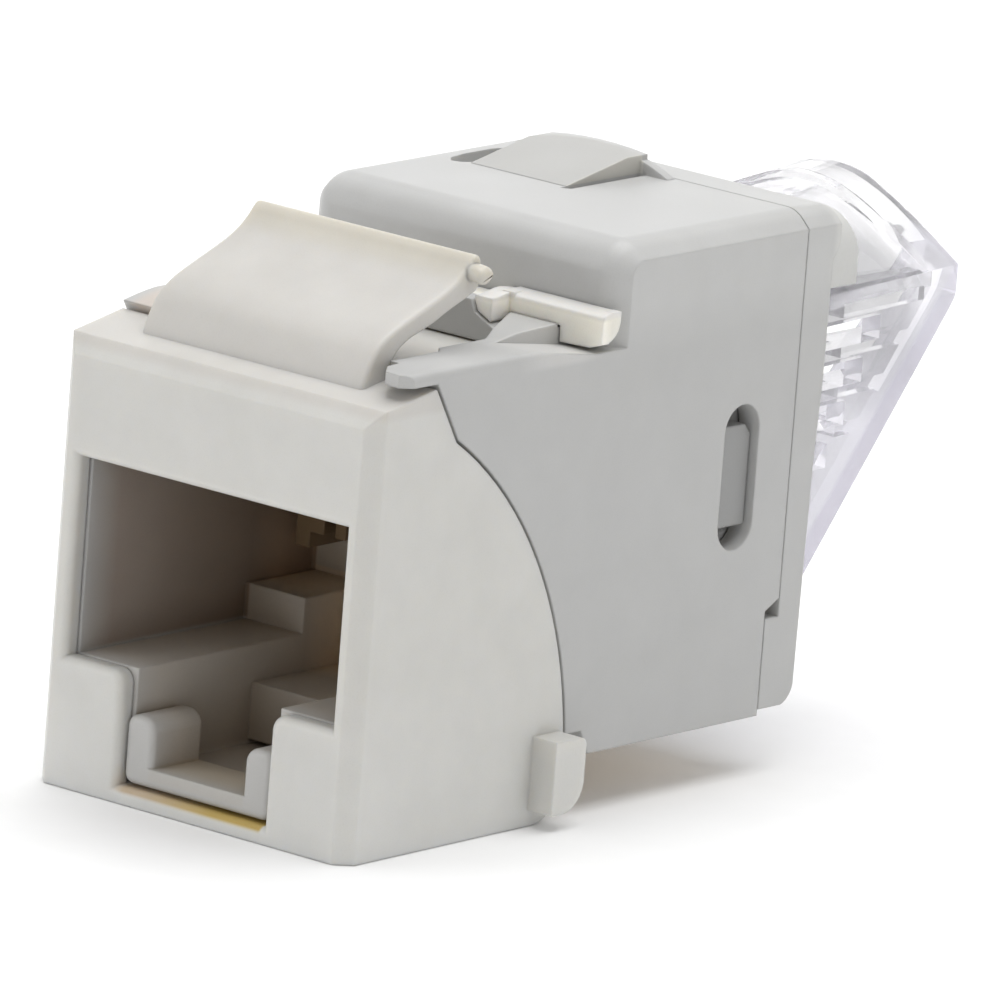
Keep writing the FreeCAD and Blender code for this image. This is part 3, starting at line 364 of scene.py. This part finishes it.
GREY = plastic(
    "pale_grey_plastic", lin(181, 181, 180), sss=0.10, edge=0.12, painted_recess_shade=(0.0055, PAINTED_SHADE_GREY),
    painted_shade_box=((-6.6, 0.6, 1.0), (6.6, 26.0, 16.4), (0.1, 0.3, 0.3)),
    light_shade_tints=(
        # painted shade: port side wall darker brown, darker still deeper in; painted light: lower port and back
        # wall lifted; painted shade: port floor at the mouth warmer and darker
        ((-6.2, 1.5, 4.85), (-5.9, None, 12.0), (0.05, 0.9, 0.05), (0.74, 0.63, 0.56, 1)),
        ((-6.2, 8.0, 4.85), (-5.9, None, 12.0), (0.05, 4.0, 0.05), (0.80, 0.73, 0.64, 1)),
        ((-5.95, 1.0, 1.0), (6.2, None, 6.3), (0.05, 0.9, 0.05), (1.16, 1.08, 0.99, 1)),
        ((-6.2, 10.6, 1.0), (6.2, None, 12.2), (0.05, 0.8, 0.05), (1.6, 1.5, 1.35, 1)),
        ((-2.20, 0.6, 1.0), (2.2, 3.2, 1.5), (0.05, 0.6, 0.05), (0.98, 0.93, 0.83, 1)),
        # painted reflection: warm cream-brown from the lever on the left rail nose
        ((-6.85, 2.0, 16.3), (-5.15, 6.2, 17.6), ((0.25, 0.05), (0.05, 1.6), (0.3, 0.05)), (1.16, 1.04, 0.95, 1)),
        # painted light: shadowed side wall of the ramp lifted
        ((5.3, 8.4, 16.7), (7.3, 11.9, 17.8), (0.05, 0.8, 0.1), (1.16, 1.15, 1.14, 1)),
        # ramp tab top a little darker and warmer; painted light lifts its side face
        ((-4.75, 18.6, 20.62), (-0.2, 23.0, 21.5), 0.02, (0.975, 0.969, 0.95, 1)),
        ((-0.32, 18.6, 20.62), (-0.1, 23.0, 21.5), 0.02, (1.24, 1.22, 1.17, 1)),
        # painted light: upper side and top edge of the housing lightened
        ((-8.0, 12.6, 17.4), (8.0, None, 20.54), (0.1, 0.3, (0.9, 0.07)), (1.10, 1.10, 1.10, 1)),
    ),
)
REAR = plastic(
    "rear_grey_plastic", lin(183, 183, 182), sss=0.10, edge=0.12, painted_recess_shade=(0.002, PAINTED_SHADE_WARM),
    light_shade_tints=(
        # painted shade: snap tab in the side window darkened as if in shadow
        ((6.0, 19.3, 9.0), (7.2, 21.6, 13.4), 0.05, (0.62, 0.62, 0.62, 1)),
        # painted light: collar behind the flange lightened
        ((-7.4, 25.0, 16.8), (7.4, 28.0, 20.6), (0.1, 0.12, 0.3), (1.12, 1.12, 1.11, 1)),
        # painted light: upper side and top edge of the housing lightened
        ((-8.0, 12.6, 17.4), (8.0, None, 20.54), (0.1, 0.3, (0.9, 0.07)), (1.10, 1.10, 1.10, 1)),
    ),
)
CARRIER = plastic(
    "carrier_plastic", lin(126, 104, 76), dark=0.9, light=1.06, rough=(0.42, 0.6), sss=0.0,
    painted_recess_shade=(0.003, PAINTED_SHADE_GREY),
)
GOLD = metal("gold_plating", lin(226, 184, 98), lin(206, 160, 78))
TIN = metal("tin_plating", lin(206, 204, 198), lin(188, 185, 178), rough=(0.25, 0.42))
GREEN = board("board_laminate")
CLEAR = clear(
    "clear_polycarbonate",
    light_shade_tints=(
        # painted shade on the lower roof and comb side; painted light on the rear wall and roof
        ((3.5, 25.0, 13.2), (7.4, 31.4, 18.9), (0.6, 0.5, (1.2, 0.5)), (0.68, 0.68, 0.675, 1)),
        ((-7.4, 31.6, 15.4), (7.4, 35.0, 20.6), (0.1, (0.5, 0.1), 0.5), (1.13, 1.13, 1.115, 1)),
        ((-3.0, 25.0, 18.9), (3.0, 31.6, 20.6), (1.0, 0.5, 0.4), (1.05, 1.05, 1.04, 1)),
    ),
)

for node, obj in NODES.items():
    if node.startswith("jack_contact"):
        mat = GOLD
    elif node.startswith("idc_contact"):
        mat = TIN
    else:
        mat = {
            "bezel": WARM, "latch_lever": WARM, "main_housing": GREY, "idc_housing": REAR,
            "contact_carrier": CARRIER, "compensation_pcb": GREEN, "lacing_cap": CLEAR,
        }[node]
    for s in obj.material_slots:
        s.material = mat


# ------------------------------------------------------------------ soft edges
def soft_edges(obj, width, segments=3, angle=28, flat=2.0):
    m = obj.modifiers.new("weld", "WELD")
    m.merge_threshold = 2e-6
    m = obj.modifiers.new("planes", "DECIMATE")
    m.decimate_type = "DISSOLVE"
    m.angle_limit = math.radians(flat)
    m = obj.modifiers.new("bevel", "BEVEL")
    m.width = width
    m.segments = segments
    m.limit_method = "ANGLE"
    m.angle_limit = math.radians(angle)
    m.use_clamp_overlap = True
    m.harden_normals = False
    m.miter_outer = "MITER_ARC"
    m = obj.modifiers.new("normals", "WEIGHTED_NORMAL")
    m.keep_sharp = False
    m.weight = 80


for node, obj in NODES.items():
    if node == "bezel":
        soft_edges(obj, 0.17 * MM)
    elif node in ("main_housing", "idc_housing"):
        soft_edges(obj, 0.12 * MM)
    elif node == "latch_lever":
        continue
    elif node == "lacing_cap":
        soft_edges(obj, 0.07 * MM, 2)
    elif node in ("contact_carrier",):
        soft_edges(obj, 0.05 * MM, 2)
    else:
        soft_edges(obj, 0.04 * MM, 2)


# ------------------------------------------------------------------ latch lever
def smooth_loop(keys, per=6):
    """Closed Catmull-Rom run through (y, z) keys; a key with a third value is a sharp corner."""
    n = len(keys)
    out = []
    for i in range(n):
        p0, p1, p2, p3 = (keys[(i + k) % n] for k in (-1, 0, 1, 2))
        if len(p1) > 2:
            p0 = p1
        if len(p2) > 2:
            p3 = p2
        for j in range(per):
            t = j / per
            out.append(tuple(
                0.5 * (2 * b + (c - a) * t + (2 * a - 5 * b + 4 * c - d) * t * t + (3 * b - a - 3 * c + d) * t ** 3)
                for a, b, c, d in zip(p0[:2], p1[:2], p2[:2], p3[:2])
            ))
    return out


def offset_loop(loop, by):
    """The closed loop moved inwards by a distance, along its point normals."""
    n = len(loop)
    area = sum(loop[i][0] * loop[(i + 1) % n][1] - loop[(i + 1) % n][0] * loop[i][1] for i in range(n))
    turn = 1 if area > 0 else -1
    out = []
    for i in range(n):
        (ax, ay), (bx, by_) = loop[i - 1], loop[(i + 1) % n]
        dx, dy = bx - ax, by_ - ay
        k = math.hypot(dx, dy) or 1.0
        out.append((loop[i][0] - turn * dy / k * by, loop[i][1] + turn * dx / k * by))
    return out


def swept(bm, loop, x0, x1, r, sag=None, across=28):
    """Sweep a (y, z) loop along X with ends rounded by r; sag(x) may lower or shift a station."""
    rings = []
    first = [
        (x0 + r * (1 - math.cos(math.pi / 2 * k / 4)), r * (1 - math.sin(math.pi / 2 * k / 4)))
        for k in range(5)
    ]
    middle = [(x0 + r + (x1 - x0 - 2 * r) * k / across, 0.0) for k in range(1, across)]
    last = [
        (x1 - r * (1 - math.cos(math.pi / 2 * k / 4)), r * (1 - math.sin(math.pi / 2 * k / 4)))
        for k in range(4, -1, -1)
    ]
    for x, inset in first + middle + last:
        pts = offset_loop(loop, inset) if inset > 1e-9 else loop
        dy, dz = sag(x) if sag else (0.0, 0.0)
        rings.append([bm.verts.new((x * MM, (y + dy) * MM, (z + dz) * MM)) for y, z in pts])
    n = len(loop)
    for a, b in zip(rings, rings[1:]):
        for i in range(n):
            bm.faces.new((a[i], a[(i + 1) % n], b[(i + 1) % n], b[i]))
    bm.faces.new(list(reversed(rings[0])))
    bm.faces.new(rings[-1])
    return rings


LEVER = [
    (1.60, 16.06, 1), (1.70, 16.52), (1.80, 16.80), (1.95, 17.12), (2.12, 17.42), (2.34, 17.72),
    (2.68, 18.02), (3.25, 18.35), (4.05, 18.68), (5.05, 19.05), (5.90, 19.39), (6.50, 19.70),
    (6.98, 20.08), (7.26, 20.38), (7.46, 20.52), (7.66, 20.46), (7.76, 20.24), (7.74, 19.90),
    (7.74, 19.56), (7.62, 19.26), (7.26, 19.08), (6.20, 18.68), (5.30, 18.30), (4.50, 18.04),
    (4.02, 17.86), (3.56, 17.58), (3.28, 17.24), (3.15, 16.95), (3.14, 16.76), (3.24, 16.62), (3.28, 16.06, 1),
]
NIB = [(7.02, 19.72), (7.36, 19.66), (7.70, 19.88), (7.74, 20.06), (7.54, 20.24), (7.14, 20.22), (6.98, 20.00)]
bm = bmesh.new()
swept(bm, smooth_loop(LEVER), -5.10, 5.10, 0.16)
nib = smooth_loop(NIB, 4)
swept(bm, nib, 4.90, 5.74, 0.20, sag=lambda x: (0.0, -0.22 * max(0.0, x - 5.1) ** 2), across=8)
bmesh.ops.recalc_face_normals(bm, faces=bm.faces)
me = bpy.data.meshes.new("lever_moulding")
bm.to_mesh(me)
bm.free()
for p in me.polygons:
    p.use_smooth = True
lever = bpy.data.objects.new("lever_moulding", me)
scene.collection.objects.link(lever)
me.materials.append(WARM)
m = lever.modifiers.new("normals", "WEIGHTED_NORMAL")
m.keep_sharp = False
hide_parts("latch_lever")
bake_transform(lever)

# ------------------------------------------------------------------ floor and light
def grid_floor():
    me = bpy.data.meshes.new("floor")
    bm = bmesh.new()
    bmesh.ops.create_grid(bm, x_segments=8, y_segments=8, size=3.0)
    bm.to_mesh(me)
    bm.free()
    o = bpy.data.objects.new("floor", me)
    scene.collection.objects.link(o)
    o.location = (0, 0, cad_box[0][2] - 0.00002)
    g = Graph("floor_paper")
    g.link(
        g.ramp(g.noise(300, 3.0), (0.3, (0.93, 0.93, 0.93, 1)), (0.7, (0.95, 0.95, 0.95, 1))),
        g.bsdf.inputs["Base Color"],
    )
    g.link(g.remap(g.noise(900), 0.75, 0.9), g.bsdf.inputs["Roughness"])
    g.bsdf.inputs["Specular IOR Level"].default_value = 0.2
    o.data.materials.append(g.mat)
    return o


grid_floor()


def softbox(name, where, at, size, power, tint=(1, 1, 1)):
    data = bpy.data.lights.new(name, "AREA")
    data.shape = "RECTANGLE"
    data.size, data.size_y = size
    data.energy = power
    data.color = tint
    o = bpy.data.objects.new(name, data)
    scene.collection.objects.link(o)
    o.location = where
    o.rotation_euler = (Vector(at) - Vector(where)).to_track_quat("-Z", "Y").to_euler()
    return o


MID = (0, 0.014, 0.010)
softbox("top_box", (0.0, 0.12, 0.58), MID, (0.6, 0.6), 3.3)
softbox("back_card", (-0.63, 0.80, 0.26), MID, (0.9, 0.45), 1.6)
softbox("front_left", (-0.45, -0.5, 0.20), MID, (0.35, 0.35), 0.85)
softbox("front_right", (0.6, -0.25, 0.20), MID, (0.35, 0.35), 0.24)

world = bpy.data.worlds.new("studio")
scene.world = world
world.use_nodes = True
wt = world.node_tree
wt.nodes["Background"].inputs["Color"].default_value = (1.0, 1.0, 1.0, 1)
wt.nodes["Background"].inputs["Strength"].default_value = 0.52
